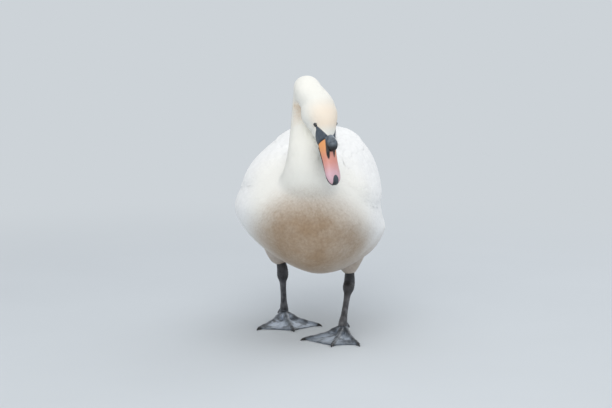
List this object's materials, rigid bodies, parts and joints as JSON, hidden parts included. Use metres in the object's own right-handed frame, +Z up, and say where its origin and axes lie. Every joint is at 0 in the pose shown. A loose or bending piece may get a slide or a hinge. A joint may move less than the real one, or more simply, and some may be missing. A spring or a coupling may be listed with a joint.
{
  "type": "standing mute swan figure",
  "caption": "Standing mute swan, a still life-size model: arched neck, bill pointing down, folded wings, pointed tail and webbed feet set one ahead of the other.",
  "frame": {"origin": "middle of the bird's bounding box at floor level, under the trunk", "axes": "the swan faces -Y, its left side is +X, +Z is up"},
  "size_m": [0.3474, 0.8678, 0.6094],
  "materials": {
    "plumage": "matt white feathers",
    "face_skin": "slate black bare skin, slightly glossy",
    "bill_horn": "orange to pink horn, satin",
    "nail_horn": "dark horn, satin",
    "leg_skin": "dark grey scaly skin",
    "claw_horn": "black horn",
    "eye": "dark brown, wet gloss"
  },
  "bodies": {
    "root": {"trunk": "plumage", "tail": "plumage", "wing_left": "plumage", "wing_right": "plumage", "neck_lower": "plumage", "neck_middle": "plumage", "neck_upper": "plumage", "head": "plumage", "eye_left": "eye", "eye_right": "eye", "bill_upper": "bill_horn", "bill_nail": "nail_horn", "bill_lower": "face_skin", "bill_knob": "face_skin", "thigh_left": "plumage", "leg_left": "leg_skin", "foot_left": "leg_skin", "hind_toe_left": "leg_skin", "claw_outer_left": "claw_horn", "claw_middle_left": "claw_horn", "claw_inner_left": "claw_horn", "thigh_right": "plumage", "leg_right": "leg_skin", "foot_right": "leg_skin", "hind_toe_right": "leg_skin", "claw_outer_right": "claw_horn", "claw_middle_right": "claw_horn", "claw_inner_right": "claw_horn"}
  },
  "joints": []
}
